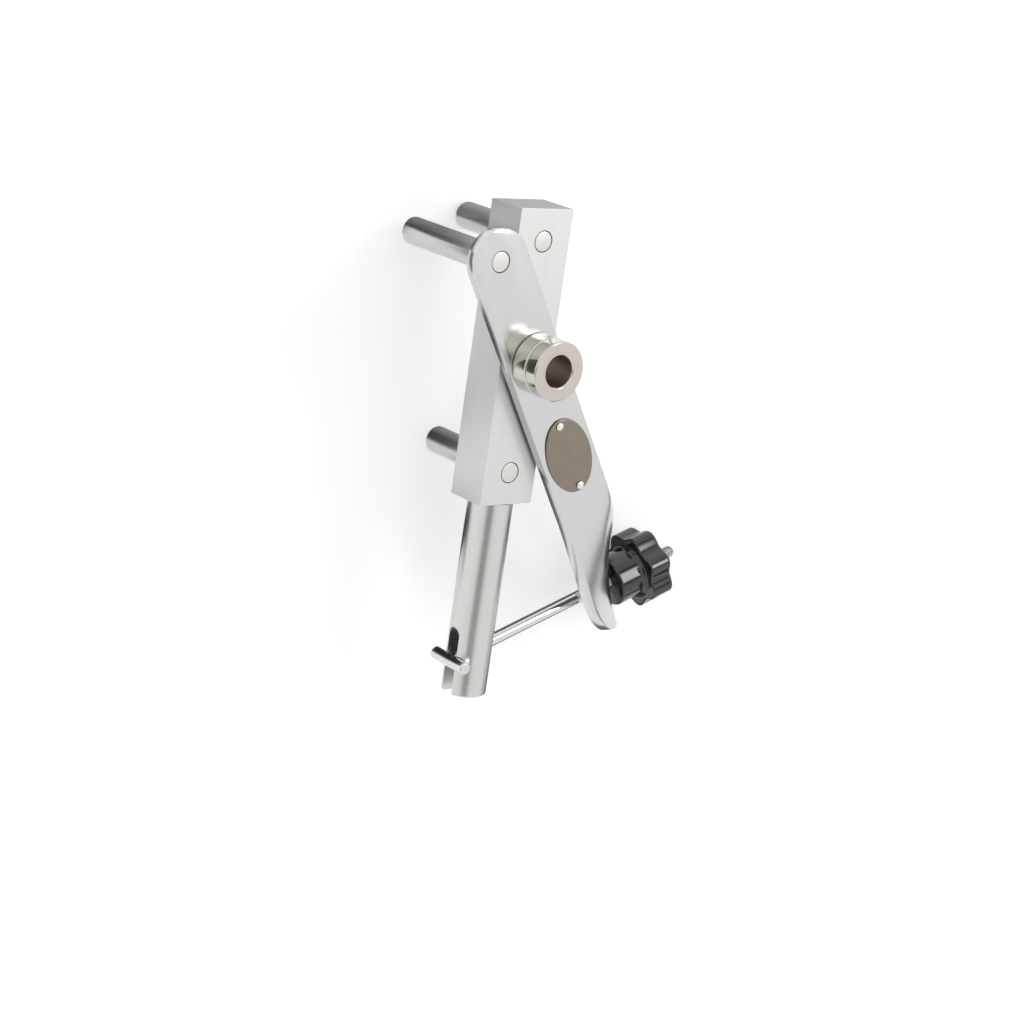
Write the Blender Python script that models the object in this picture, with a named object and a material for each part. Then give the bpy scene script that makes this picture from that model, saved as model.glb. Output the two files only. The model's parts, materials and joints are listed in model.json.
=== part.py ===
# Drill guide: a square bar with a drill bush, two fixed pins, and a swinging arm that a knob closes.
# The model is drawn upright, bar along Z and bush along Y, and then laid on its pin tips and knob.
import bpy
import bmesh
import math
import numpy as np
from mathutils import Matrix, Vector

# Driving sizes, in metres and radians
GAP = 0.0003
OVERCUT = 0.002

BAR_WIDTH = 0.0254
BAR_DEPTH = 0.01905
BAR_ABOVE_PIVOT = 0.0588
BAR_BELOW_PIVOT = 0.0590

PIN_PITCH_RADIUS = 0.0460
PIN_DIAMETER = 0.0111
PIN_HEAD_DIAMETER = 0.0080
PIN_REACH = 0.0515
UPPER_PIN_ROUND = 0.0026
LOWER_PIN_BEVEL = 0.0024
ARM_PIN_BEVEL = 0.0007

ARM_ANGLE = math.radians(31.5)
ARM_WIDTH = 0.0252
ARM_THICKNESS = 0.0045
ARM_STAND_OFF = 0.0015
ARM_EDGE_ROUND = 0.0005
ARM_TOP_REACH = 0.0587

BUSH_HEAD_DIAMETER = 0.0237
BUSH_HEAD_LENGTH = 0.0060
BUSH_BODY_DIAMETER = 0.0160
BUSH_BORE = 0.0127
BUSH_CHAMFER = 0.00045
COLLAR_LENGTH = 0.0080
SLEEVE_DIAMETER = 0.01905

BADGE_WIDTH = 0.0212
BADGE_LENGTH = 0.0334
BADGE_THICKNESS = 0.0006
BADGE_DISTANCE = 0.0447
RIVET_PITCH = 0.0287
RIVET_HEAD_DIAMETER = 0.0034
RIVET_HEAD_HEIGHT = 0.0009
RIVET_SHANK_DIAMETER = 0.0018
RIVET_DEPTH = 0.0022

POST_DIAMETER = 0.0182
POST_LENGTH = 0.0811
POST_CHAMFER = 0.0007
SPIGOT_DIAMETER = 0.0110
SLOT_WIDTH = 0.0063
SLOT_LENGTH = 0.0279
SEAT_HEIGHT = 0.01375
SEAT_INSET = 0.0003

CROSS_PIN_DIAMETER = 0.0053
CROSS_PIN_LENGTH = 0.0208
CROSS_PIN_CHAMFER = 0.0005
ROD_DIAMETER = 0.0051
ROD_LENGTH = 0.1170
ROD_PITCH = math.radians(19.55)
ROD_NECK_DIAMETER = 0.0026
ROD_NECK_DEPTH = 0.0012
ROD_CHAMFER = 0.0006

KNOB_DISTANCE = 0.0819
BOSS_DIAMETER = 0.0211
BOSS_LENGTH = 0.0124
BOSS_ROUND = 0.0008
HEAD_DIAMETER = 0.0327
HEAD_LENGTH = 0.0108
HEAD_ROUND = 0.0018
LOBES = 7
LOBE_TURN = math.radians(2.35)
SCALLOP_DEPTH = 0.0018
INSERT_DIAMETER = 0.0095
INSERT_RECESS = 0.0050
INSERT_SET_IN = 0.0030

TURNED_SEGMENTS = 40
SMALL_SEGMENTS = 24

# Sizes that follow
BAR_MIDDLE = BAR_DEPTH / 2
ARM_BACK = -ARM_STAND_OFF
ARM_MIDDLE = ARM_BACK - ARM_THICKNESS / 2
ARM_FRONT = ARM_BACK - ARM_THICKNESS
COLLAR_FRONT = ARM_FRONT - GAP - COLLAR_LENGTH
BUSH_FRONT = COLLAR_FRONT - GAP - BUSH_HEAD_LENGTH
POST_TOP = -BAR_BELOW_PIVOT - GAP
POST_BOTTOM = POST_TOP - POST_LENGTH
SPIGOT_LENGTH = BAR_BELOW_PIVOT - PIN_PITCH_RADIUS - PIN_HEAD_DIAMETER / 2 - 4 * GAP
SEAT = Vector((SEAT_INSET - POST_DIAMETER / 2, BAR_MIDDLE, POST_BOTTOM + SEAT_HEIGHT))
ROD_AXIS = Vector((math.cos(ROD_PITCH), 0, math.sin(ROD_PITCH)))
ARM_RIGHT = Vector((math.cos(ARM_ANGLE), 0, math.sin(ARM_ANGLE)))
ARM_DOWN = Vector((math.sin(ARM_ANGLE), 0, -math.cos(ARM_ANGLE)))
BACKWARD = Vector((0, 1, 0))
UPWARD = Vector((0, 0, 1))


def clear_scene():
    for item in list(bpy.data.objects):
        bpy.data.objects.remove(item, do_unlink=True)


def finish_of(name, colour, roughness, metallic):
    material = bpy.data.materials.new(name)
    material.use_nodes = True
    shader = material.node_tree.nodes["Principled BSDF"]
    shader.inputs["Base Color"].default_value = (*colour, 1)
    shader.inputs["Roughness"].default_value = roughness
    shader.inputs["Metallic"].default_value = metallic
    material.diffuse_color = (*colour, 1)
    return material


def as_object(name, mesh_builder, material=None, smooth_below=40):
    bmesh.ops.recalc_face_normals(mesh_builder, faces=mesh_builder.faces)
    mesh = bpy.data.meshes.new(name)
    mesh_builder.to_mesh(mesh)
    mesh_builder.free()
    mesh.shade_smooth()
    mesh.set_sharp_from_angle(angle=math.radians(smooth_below))
    item = bpy.data.objects.new(name, mesh)
    bpy.context.scene.collection.objects.link(item)
    if material:
        mesh.materials.append(material)
    return item


def place_along(centre, direction):
    """Local Z runs along direction, and local X points forward, or right where direction runs back."""
    side = Vector((1, 0, 0)) if abs(direction.y) > 0.9 else Vector((0, -1, 0))
    basis = Matrix((side, direction.cross(side), direction)).transposed()
    return Matrix.Translation(centre) @ basis.to_4x4()


def turned(name, profile, centre, direction, material=None, segments=TURNED_SEGMENTS):
    """Spin a profile of (distance, radius) points about the line through centre along direction."""
    builder = bmesh.new()
    points = [builder.verts.new((radius, 0, along)) for along, radius in profile]
    chain = list(zip(points, points[1:]))
    if profile[0][1] > 0:
        chain.append((points[-1], points[0]))
    edges = [builder.edges.new(pair) for pair in chain]
    bmesh.ops.spin(
        builder, geom=points + edges, axis=(0, 0, 1), cent=(0, 0, 0), dvec=(0, 0, 0),
        angle=2 * math.pi, steps=segments, use_merge=True, use_duplicate=False,
    )
    bmesh.ops.remove_doubles(builder, verts=builder.verts, dist=1e-6)
    bmesh.ops.transform(builder, matrix=place_along(centre, direction), verts=builder.verts)
    return as_object(name, builder, material)


def rod_profile(start, end, radius, start_chamfer=0.0, end_chamfer=0.0):
    """A solid round bar with a chamfer at either end."""
    points = [(start, 0)]
    if start_chamfer:
        points.append((start, radius - start_chamfer))
    points.append((start + start_chamfer, radius))
    points.append((end - end_chamfer, radius))
    if end_chamfer:
        points.append((end, radius - end_chamfer))
    points.append((end, 0))
    return points


def as_cutter(item):
    item.hide_render = True
    item.display_type = "WIRE"
    return item


def cut(item, cutter):
    as_cutter(cutter)
    step = item.modifiers.new("Cut " + cutter.name, "BOOLEAN")
    step.operation = "DIFFERENCE"
    step.solver = "EXACT"
    step.object = cutter


def drill(item, name, centre, direction, diameter, start, end, segments=SMALL_SEGMENTS):
    cutter = turned(name, rod_profile(start, end, diameter / 2), centre, direction, segments=segments)
    cut(item, cutter)
    return cutter


def on_pivot(distance):
    """The point on the pivot axis at a distance behind the bar's front face."""
    return Vector((0, distance, 0))


def on_arm(right, down, depth=0.0):
    return ARM_RIGHT * right + ARM_DOWN * down + BACKWARD * depth


# The bar: one length of bright flat, bored for the sleeve, the two pins and the post.
def make_bar(material):
    builder = bmesh.new()
    height = BAR_ABOVE_PIVOT + BAR_BELOW_PIVOT
    middle = Vector((0, BAR_MIDDLE, (BAR_ABOVE_PIVOT - BAR_BELOW_PIVOT) / 2))
    shape = Matrix.Translation(middle) @ Matrix.Diagonal((BAR_WIDTH, BAR_DEPTH, height, 1))
    bmesh.ops.create_cube(builder, size=1, matrix=shape)
    bar = as_object("guide_bar", builder, material)
    through = BAR_DEPTH + OVERCUT
    for name, side in (("upper", 1), ("lower", -1)):
        centre = UPWARD * side * PIN_PITCH_RADIUS
        drill(bar, name + "_pin_hole", centre, BACKWARD, PIN_HEAD_DIAMETER + 2 * GAP, -OVERCUT, through)
    drill(bar, "sleeve_hole", on_pivot(0), BACKWARD, SLEEVE_DIAMETER + 2 * GAP, -OVERCUT, through, TURNED_SEGMENTS)
    foot = Vector((0, BAR_MIDDLE, -BAR_BELOW_PIVOT))
    drill(bar, "spigot_hole", foot, UPWARD, SPIGOT_DIAMETER + 2 * GAP, -OVERCUT, SPIGOT_LENGTH + GAP)
    return bar


# A guide pin: a hard steel pin with a reduced head that is pressed through its carrier and ground flush.
def pin_profile(head_length, reach, tip_points):
    head = PIN_HEAD_DIAMETER / 2
    shank = PIN_DIAMETER / 2
    points = [(0, 0), (0, head), (head_length, head), (head_length, shank)]
    points += [(reach - back, shank - inset) for back, inset in tip_points]
    points.append((reach, 0))
    return points


def bevelled_tip(size):
    return [(size, 0), (0, size)]


def rounded_tip(radius, steps=4):
    angles = [math.pi / 2 * step / steps for step in range(steps + 1)]
    return [(radius * (1 - math.sin(angle)), radius * (1 - math.cos(angle))) for angle in angles]


def make_bar_pins(material):
    tips = {"upper": rounded_tip(UPPER_PIN_ROUND), "lower": bevelled_tip(LOWER_PIN_BEVEL)}
    pins = []
    for name, side in (("upper", 1), ("lower", -1)):
        profile = pin_profile(BAR_DEPTH + GAP, PIN_REACH, tips[name])
        centre = UPWARD * side * PIN_PITCH_RADIUS
        pins.append(turned(name + "_bar_pin", profile, centre, BACKWARD, material))
    return pins


def make_arm_pin(material):
    profile = pin_profile(ARM_THICKNESS + GAP, PIN_REACH - ARM_FRONT, bevelled_tip(ARM_PIN_BEVEL))
    return turned("arm_pin", profile, on_arm(0, -PIN_PITCH_RADIUS, ARM_FRONT), BACKWARD, material)


# The pivot: a sleeve pressed in the bar, a washer, the collar that keeps the arm on, and the drill bush.
def make_pivot(sleeve_finish, bush_finish):
    outer = SLEEVE_DIAMETER / 2
    body = BUSH_BODY_DIAMETER / 2
    inner = body + GAP
    head = BUSH_HEAD_DIAMETER / 2
    bore = BUSH_BORE / 2
    edge = BUSH_CHAMFER
    sleeve = [(COLLAR_FRONT, inner), (COLLAR_FRONT, outer), (BAR_DEPTH, outer), (BAR_DEPTH, inner)]
    washer = [(ARM_BACK + GAP, outer + GAP), (ARM_BACK + GAP, head), (-GAP, head), (-GAP, outer + GAP)]
    collar = [
        (COLLAR_FRONT, outer + GAP), (COLLAR_FRONT, head - edge), (COLLAR_FRONT + edge, head),
        (ARM_FRONT - GAP - edge, head), (ARM_FRONT - GAP, head - edge), (ARM_FRONT - GAP, outer + GAP),
    ]
    head_back = BUSH_FRONT + BUSH_HEAD_LENGTH
    bush = [
        (BUSH_FRONT, bore + edge), (BUSH_FRONT, head - edge), (BUSH_FRONT + edge, head), (head_back - edge, head),
        (head_back, head - edge), (head_back, body), (BAR_DEPTH, body), (BAR_DEPTH, bore),
        (BUSH_FRONT + edge, bore),
    ]
    pieces = [turned("pivot_sleeve", sleeve, on_pivot(0), BACKWARD, sleeve_finish)]
    pieces.append(turned("pivot_washer", washer, on_pivot(0), BACKWARD, sleeve_finish))
    pieces.append(turned("pivot_collar", collar, on_pivot(0), BACKWARD, bush_finish))
    pieces.append(turned("drill_bush", bush, on_pivot(0), BACKWARD, bush_finish))
    return pieces


# The arm: flat bar with a round top. Its lower end is rolled: the left edge comes forward, and past a
# slanting bend the right side turns square to the clamp rod and gives the knob its seat.
SEAT_DOWN = 0.1187
ROLL_START = 0.0598
ROLL_END = 0.1414
LEFT_TURN = math.radians(34.6)
RIGHT_TURN = math.radians(108.8)
BEND_PLACE = 0.0037
BEND_SLANT = 0.16
BEND_WIDTH = 0.0075
SET_BACK = 0.0060
SET_LEFT = 0.0024
SET_START = 0.0680
SET_END = 0.1314
TIP_START = 0.1136
TIP_REACH = 0.0207
LUG_REACH = 0.0036
LUG_LENGTH = 0.0340
ARM_COLUMNS = 14
ROD_HOLE_DIAMETER = 0.0070
ROD_HOLE_DEPTH = 0.0200


def ease(value):
    value = min(max(value, 0.0), 1.0)
    return value * value * (3 - 2 * value)


def section_angle(across, down):
    turn = ease((down - ROLL_START) / (ROLL_END - ROLL_START))
    bend = BEND_PLACE - BEND_SLANT * (down - SEAT_DOWN)
    curl = ease((across - bend) / BEND_WIDTH + 0.5)
    return turn * (LEFT_TURN + (RIGHT_TURN - LEFT_TURN) * curl)


def rolled_point(across, down, steps=40):
    """A point of the arm's middle surface, from its place on the flat blank."""
    step = across / steps
    angles = [section_angle((index + 0.5) * step, down) for index in range(steps)]
    shift = ease((down - SET_START) / (SET_END - SET_START))
    right = sum(math.cos(angle) for angle in angles) * step - SET_LEFT * shift
    depth = sum(math.sin(angle) for angle in angles) * step + SET_BACK * shift
    return on_arm(right, down, ARM_MIDDLE + depth)


def blank_sides(down):
    """The blank's left and right half widths at a distance down the arm."""
    half = ARM_WIDTH / 2
    top = half - ARM_TOP_REACH
    if down < top:
        rounding = math.sqrt(max(1 - ((top - down) / half) ** 2, 0))
    else:
        rounding = math.sqrt(max(1 - (max(down - TIP_START, 0) / TIP_REACH) ** 2, 0))
    lug = LUG_REACH * ease(1 - abs(down - SEAT_DOWN) / (LUG_LENGTH / 2))
    return half * rounding, (half + lug) * rounding


def blank_rows():
    """Distances down the arm, close together where its outline or its shape turns."""
    half = ARM_WIDTH / 2
    top = [half - ARM_TOP_REACH - half * math.cos(math.pi / 2 * step / 7) for step in range(8)]
    straight = [0.0, ROLL_START]
    roll = list(np.linspace(ROLL_START, TIP_START, 22)[1:])
    tip = [TIP_START + TIP_REACH * math.sin(math.pi / 2 * step / 8) for step in range(1, 8)]
    return top + straight + roll + tip


def make_arm(material):
    builder = bmesh.new()
    rows = []
    for down in blank_rows():
        left, right = blank_sides(down)
        if left < 1e-6:
            rows.append([builder.verts.new(rolled_point(0.0, down))])
            continue
        places = np.linspace(-left, right, ARM_COLUMNS + 1)
        rows.append([builder.verts.new(rolled_point(across, down)) for across in places])
    for upper, lower in zip(rows, rows[1:]):
        for index in range(ARM_COLUMNS):
            corners = [
                upper[min(index, len(upper) - 1)], lower[min(index, len(lower) - 1)],
                lower[min(index + 1, len(lower) - 1)], upper[min(index + 1, len(upper) - 1)],
            ]
            builder.faces.new(list(dict.fromkeys(corners)))
    arm = as_object("arm", builder, material)
    plate = arm.modifiers.new("Plate thickness", "SOLIDIFY")
    plate.thickness = ARM_THICKNESS
    plate.offset = 0
    edge = arm.modifiers.new("Rounded edges", "BEVEL")
    edge.width = ARM_EDGE_ROUND
    edge.segments = 2
    edge.limit_method = "ANGLE"
    edge.angle_limit = math.radians(50)
    sleeve_hole = SLEEVE_DIAMETER + 2 * GAP
    drill(arm, "pivot_hole", on_pivot(0), BACKWARD, sleeve_hole, ARM_FRONT - OVERCUT, OVERCUT, TURNED_SEGMENTS)
    pin_place = on_arm(0, -PIN_PITCH_RADIUS)
    drill(arm, "arm_pin_hole", pin_place, BACKWARD, PIN_HEAD_DIAMETER + 2 * GAP, ARM_FRONT - OVERCUT, OVERCUT)
    for name, side in (("upper", -1), ("lower", 1)):
        place = on_arm(0, BADGE_DISTANCE + side * RIVET_PITCH / 2, ARM_FRONT)
        drill(arm, name + "_rivet_hole", place, BACKWARD, RIVET_SHANK_DIAMETER + 2 * GAP, -OVERCUT, RIVET_DEPTH + GAP, 12)
    drill(arm, "rod_hole", SEAT, ROD_AXIS, ROD_HOLE_DIAMETER, KNOB_DISTANCE - ROD_HOLE_DEPTH, KNOB_DISTANCE + OVERCUT)
    return arm


# The badge: a bare oval plate that two round-headed rivets hold to the arm.
def make_badge(plate_finish, rivet_finish):
    front = ARM_FRONT - GAP - BADGE_THICKNESS
    builder = bmesh.new()
    bmesh.ops.create_cone(
        builder, cap_ends=True, segments=56, radius1=0.5, radius2=0.5, depth=BADGE_THICKNESS,
    )
    basis = Matrix((ARM_RIGHT, ARM_DOWN, BACKWARD)).transposed().to_4x4()
    oval = Matrix.Diagonal((BADGE_WIDTH, BADGE_LENGTH, 1, 1))
    place = Matrix.Translation(on_arm(0, BADGE_DISTANCE, front + BADGE_THICKNESS / 2))
    bmesh.ops.transform(builder, matrix=place @ basis @ oval, verts=builder.verts)
    badge = as_object("badge_plate", builder, plate_finish)
    pieces = [badge]
    for name, side in (("upper", -1), ("lower", 1)):
        centre = on_arm(0, BADGE_DISTANCE + side * RIVET_PITCH / 2, ARM_FRONT)
        drill(badge, name + "_badge_hole", centre, BACKWARD, RIVET_SHANK_DIAMETER + 2 * GAP, -OVERCUT, OVERCUT / 2, 12)
        pieces.append(make_rivet("badge_rivet_" + name, centre, front - GAP - ARM_FRONT, rivet_finish))
    return pieces


def make_rivet(name, centre, head_back, material, steps=3):
    shank = RIVET_SHANK_DIAMETER / 2
    radius = RIVET_HEAD_DIAMETER / 2
    angles = [math.pi / 2 * step / steps for step in range(steps + 1)]
    dome = [(head_back - RIVET_HEAD_HEIGHT * math.cos(angle), radius * math.sin(angle)) for angle in angles]
    dome[0] = (dome[0][0], 0)
    return turned(name, dome + [(head_back, shank), (RIVET_DEPTH, shank), (RIVET_DEPTH, 0)], centre, BACKWARD,
                  material, 16)


# The post: a turned bar under the guide bar, slotted for the clamp rod, with a seat for its cross pin.
def make_post(material):
    radius = POST_DIAMETER / 2
    spigot = SPIGOT_DIAMETER / 2
    profile = [
        (-SPIGOT_LENGTH - GAP, 0), (-SPIGOT_LENGTH - GAP, spigot), (0, spigot), (0, radius),
        (POST_LENGTH - POST_CHAMFER, radius), (POST_LENGTH, radius - POST_CHAMFER), (POST_LENGTH, 0),
    ]
    post = turned("post", profile, Vector((0, BAR_MIDDLE, POST_TOP)), -UPWARD, material)
    cut(post, make_slot_cutter())
    groove = CROSS_PIN_DIAMETER + 2 * GAP
    drill(post, "cross_pin_seat", SEAT, BACKWARD, groove, -POST_DIAMETER, POST_DIAMETER)
    return post


def make_slot_cutter(steps=10):
    builder = bmesh.new()
    half = SLOT_WIDTH / 2
    crown = POST_BOTTOM + SLOT_LENGTH - half
    floor = POST_BOTTOM - half
    angles = [math.pi * step / steps for step in range(steps + 1)]
    outline = [(half * math.cos(angle), crown + half * math.sin(angle)) for angle in angles]
    outline += [(-half, floor), (half, floor)]
    verts = [builder.verts.new((-POST_DIAMETER, BAR_MIDDLE + across, up)) for across, up in outline]
    side = builder.faces.new(verts)
    push = bmesh.ops.extrude_face_region(builder, geom=[side])
    moved = [item for item in push["geom"] if isinstance(item, bmesh.types.BMVert)]
    bmesh.ops.translate(builder, verts=moved, vec=(2 * POST_DIAMETER, 0, 0))
    return as_object("rod_slot", builder)


# The clamp rod: a cross pin that hooks on the post, and a threaded rod necked into it.
def make_clamp_rod(material):
    neck = ROD_NECK_DIAMETER / 2
    radius = ROD_DIAMETER / 2
    shoulder = CROSS_PIN_DIAMETER / 2 + GAP
    profile = [
        (-ROD_NECK_DEPTH, 0), (-ROD_NECK_DEPTH, neck), (shoulder, neck), (shoulder, radius),
        (ROD_LENGTH - ROD_CHAMFER, radius), (ROD_LENGTH, radius - ROD_CHAMFER), (ROD_LENGTH, 0),
    ]
    rod = turned("clamp_rod", profile, SEAT, ROD_AXIS, material, SMALL_SEGMENTS)
    half = CROSS_PIN_LENGTH / 2
    pin_shape = rod_profile(-half, half, CROSS_PIN_DIAMETER / 2, CROSS_PIN_CHAMFER, CROSS_PIN_CHAMFER)
    pin = turned("cross_pin", pin_shape, SEAT, BACKWARD, material, SMALL_SEGMENTS)
    drill(pin, "neck_hole", SEAT, ROD_AXIS, ROD_NECK_DIAMETER + 2 * GAP, -ROD_NECK_DEPTH - GAP, CROSS_PIN_DIAMETER, 16)
    return [rod, pin]


# The knob: a moulded star head and boss on a threaded brass insert.
NECK_ROUND = 0.0026
NECK_FLARE = 0.6
BACK_EDGE = 0.4
LOBE_STEPS = 12
LOBE_SHAPE = 0.77


def lobed_radius(angle, radius, depth):
    """At rest a hollow between two lobes faces forward, turned a little from angle 0."""
    wave = 0.5 + 0.5 * math.cos(LOBES * (angle - LOBE_TURN))
    return radius - depth * wave ** LOBE_SHAPE


def knob_levels():
    """Distance along the knob, radius and scallop depth, from the boss to the head's face."""
    boss = BOSS_DIAMETER / 2
    head = HEAD_DIAMETER / 2
    levels = [(0, boss - BOSS_ROUND, 0), (BOSS_ROUND, boss, 0)]
    for step in range(4):
        angle = math.pi / 2 * step / 3
        back = BOSS_LENGTH - NECK_ROUND + NECK_ROUND * math.sin(angle)
        levels.append((back, boss + NECK_ROUND * (1 - math.cos(angle)) * NECK_FLARE, 0))
    edge = HEAD_ROUND * BACK_EDGE
    levels.append((BOSS_LENGTH, head - edge, SCALLOP_DEPTH))
    levels.append((BOSS_LENGTH + edge, head, SCALLOP_DEPTH))
    end = BOSS_LENGTH + HEAD_LENGTH
    for step in range(4):
        angle = math.pi / 2 * step / 3
        along = end - HEAD_ROUND + HEAD_ROUND * math.sin(angle)
        levels.append((along, head - HEAD_ROUND * (1 - math.cos(angle)), SCALLOP_DEPTH))
    return levels


def make_knob(material, insert_finish):
    builder = bmesh.new()
    count = LOBES * LOBE_STEPS
    rings = []
    for along, radius, depth in knob_levels():
        ring = []
        for index in range(count):
            angle = 2 * math.pi * index / count
            reach = lobed_radius(angle, radius, depth)
            ring.append(builder.verts.new((reach * math.cos(angle), reach * math.sin(angle), along)))
        rings.append(ring)
    for first, second in zip(rings, rings[1:]):
        for index in range(count):
            after = (index + 1) % count
            builder.faces.new((first[index], first[after], second[after], second[index]))
    builder.faces.new(rings[0])
    builder.faces.new(rings[-1])
    face = SEAT + ROD_AXIS * KNOB_DISTANCE
    bmesh.ops.transform(builder, matrix=place_along(face, ROD_AXIS), verts=builder.verts)
    knob = as_object("knob", builder, material, 30)
    length = BOSS_LENGTH + HEAD_LENGTH
    drill(knob, "insert_hole", face, ROD_AXIS, INSERT_DIAMETER + 2 * GAP, -OVERCUT, length + OVERCUT)
    outer = INSERT_DIAMETER / 2
    inner = ROD_DIAMETER / 2 + GAP
    back = length - INSERT_RECESS
    tube = [(INSERT_SET_IN, inner), (INSERT_SET_IN, outer), (back, outer), (back, inner)]
    insert = turned("knob_insert", tube, face, ROD_AXIS, insert_finish, SMALL_SEGMENTS)
    return [knob, insert]


def set_origin(item, place):
    """Keep the shape where it is and move the object's origin."""
    item.data.transform(Matrix.Translation(-place))
    item.location = place


def model_points(item):
    """The finished shape's vertices, modifiers included, in the upright frame."""
    shape = item.evaluated_get(bpy.context.evaluated_depsgraph_get())
    mesh = shape.to_mesh()
    points = np.array([item.matrix_basis @ vertex.co for vertex in mesh.vertices])
    shape.to_mesh_clear()
    return points


def lying_tilt(pins, knob):
    """The tilt about the bar's length at which pin tips and knob touch one flat surface."""
    low, high = math.radians(5), math.radians(50)
    for _ in range(50):
        tilt = (low + high) / 2
        down = np.array((math.sin(tilt), math.cos(tilt), 0))
        if (knob @ down).max() < (pins @ down).max():
            low = tilt
        else:
            high = tilt
    return low


def lay_down(pieces, cutters, rest_on_pins, rest_on_knob):
    bpy.context.view_layer.update()
    tilt = lying_tilt(np.concatenate([model_points(pin) for pin in rest_on_pins]), model_points(rest_on_knob))
    turn = Matrix.Rotation(tilt, 4, "Y") @ Matrix.Rotation(-math.pi / 2, 4, "X")
    every = np.concatenate([model_points(item) for item in pieces])
    laid = every @ np.array(turn.to_3x3()).T
    low, high = laid.min(axis=0), laid.max(axis=0)
    centre = Vector(((low[0] + high[0]) / 2, (low[1] + high[1]) / 2, low[2]))
    pose = bpy.data.objects.new("lying_pose", None)
    bpy.context.scene.collection.objects.link(pose)
    pose.matrix_world = Matrix.Translation(-centre) @ turn
    for item in pieces + cutters:
        item.parent = pose
    bpy.context.view_layer.update()


def build():
    clear_scene()
    aluminium = finish_of("bar_aluminium", (0.72, 0.71, 0.69), 0.38, 1.0)
    plate_steel = finish_of("arm_steel", (0.66, 0.66, 0.65), 0.28, 1.0)
    pin_steel = finish_of("pin_steel", (0.60, 0.60, 0.60), 0.20, 1.0)
    post_steel = finish_of("post_steel", (0.68, 0.67, 0.65), 0.34, 1.0)
    nickel = finish_of("bush_nickel", (0.70, 0.66, 0.60), 0.18, 1.0)
    chrome = finish_of("rod_chrome", (0.66, 0.66, 0.66), 0.12, 1.0)
    taupe = finish_of("badge_metal", (0.24, 0.20, 0.16), 0.40, 1.0)
    black = finish_of("knob_black", (0.012, 0.012, 0.012), 0.22, 0.0)
    brass = finish_of("insert_brass", (0.62, 0.45, 0.20), 0.30, 1.0)

    bar = make_bar(aluminium)
    bar_pins = make_bar_pins(pin_steel)
    pivot = make_pivot(pin_steel, nickel)
    post = make_post(post_steel)
    arm = make_arm(plate_steel)
    arm_pin = make_arm_pin(pin_steel)
    badge = make_badge(taupe, pin_steel)
    rod_pieces = make_clamp_rod(chrome)
    knob_pieces = make_knob(black, brass)

    pieces = [bar, *bar_pins, *pivot, post, arm, arm_pin, *badge, *rod_pieces, *knob_pieces]
    cutters = [item for item in bpy.data.objects if item.display_type == "WIRE"]
    for item in rod_pieces:
        set_origin(item, SEAT)
    for item in knob_pieces:
        set_origin(item, SEAT + ROD_AXIS * KNOB_DISTANCE)
    lay_down(pieces, cutters, bar_pins, knob_pieces[0])


build()
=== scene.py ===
import bpy
import bmesh
import json
import math
import numpy as np
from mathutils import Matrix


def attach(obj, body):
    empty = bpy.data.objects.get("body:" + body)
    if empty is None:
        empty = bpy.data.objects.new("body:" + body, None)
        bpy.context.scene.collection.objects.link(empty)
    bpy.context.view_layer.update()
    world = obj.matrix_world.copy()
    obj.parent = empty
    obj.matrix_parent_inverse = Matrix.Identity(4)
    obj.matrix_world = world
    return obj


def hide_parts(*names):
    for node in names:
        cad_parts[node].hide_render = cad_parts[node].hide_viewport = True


# The drill guide lies on a white table, on the tips of its two bar pins and on its knob.
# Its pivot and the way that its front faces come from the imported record's own joints.
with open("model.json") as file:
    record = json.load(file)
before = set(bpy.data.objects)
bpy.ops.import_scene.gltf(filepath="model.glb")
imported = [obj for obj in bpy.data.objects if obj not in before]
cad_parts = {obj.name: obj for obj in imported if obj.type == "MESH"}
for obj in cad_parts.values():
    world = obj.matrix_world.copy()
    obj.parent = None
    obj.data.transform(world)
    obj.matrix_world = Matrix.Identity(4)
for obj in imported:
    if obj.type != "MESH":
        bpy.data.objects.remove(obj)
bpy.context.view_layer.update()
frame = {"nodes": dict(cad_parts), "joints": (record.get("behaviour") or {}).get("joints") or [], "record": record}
joints = {joint["name"]: joint for joint in frame["joints"]}
pivot = np.array(joints["arm_pivot"]["pos_m"])
front = np.array(joints["arm_pivot"]["axis"])
front /= np.linalg.norm(front)
back = -front
up = np.array((0.0, 1.0, 0.0))
right = np.cross(up, front)


def at(across, depth, height):
    """A place on the upright tool: to the right, behind the bar's front face, and over the pivot."""
    return pivot + across * right + depth * back + height * up


# The studio: a camera above the left of the tool, three lamps, a white table that keeps the tool's shadow, and
# a white surround. Both show white, also in metal, but for the dark gaps between the softboxes and a few dark
# cards that only gloss sees, which give bright round metal its bands.
camera_data = bpy.data.cameras.new("camera")
camera_data.lens = 89.23
camera_data.sensor_width = 36
camera_data.clip_start = 0.01
camera = bpy.data.objects.new("camera", camera_data)
camera.location = (-0.3996, 0.2392, 0.9373)
camera.rotation_euler = [math.radians(turn) for turn in (-18.314, -20.612, 8.592)]
bpy.context.scene.collection.objects.link(camera)
bpy.context.scene.camera = camera
bpy.context.scene.view_settings.view_transform = "Standard"


class Value:
    """The output of one node: arithmetic with it adds a Math node."""

    def __init__(self, finish, socket):
        self.finish = finish
        self.socket = socket

    def with_math(self, operation, first, second):
        return self.finish.node("ShaderNodeMath", {"operation": operation}, {0: first, 1: second})

    def __add__(self, other):
        return self.with_math("ADD", self, other)

    def __sub__(self, other):
        return self.with_math("SUBTRACT", self, other)

    def __mul__(self, other):
        return self.with_math("MULTIPLY", self, other)

    def __gt__(self, other):
        return self.with_math("GREATER_THAN", self, other)

    def __lt__(self, other):
        return self.with_math("LESS_THAN", self, other)

    def __rsub__(self, other):
        return self.with_math("SUBTRACT", other, self)

    __radd__ = __add__
    __rmul__ = __mul__


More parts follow.
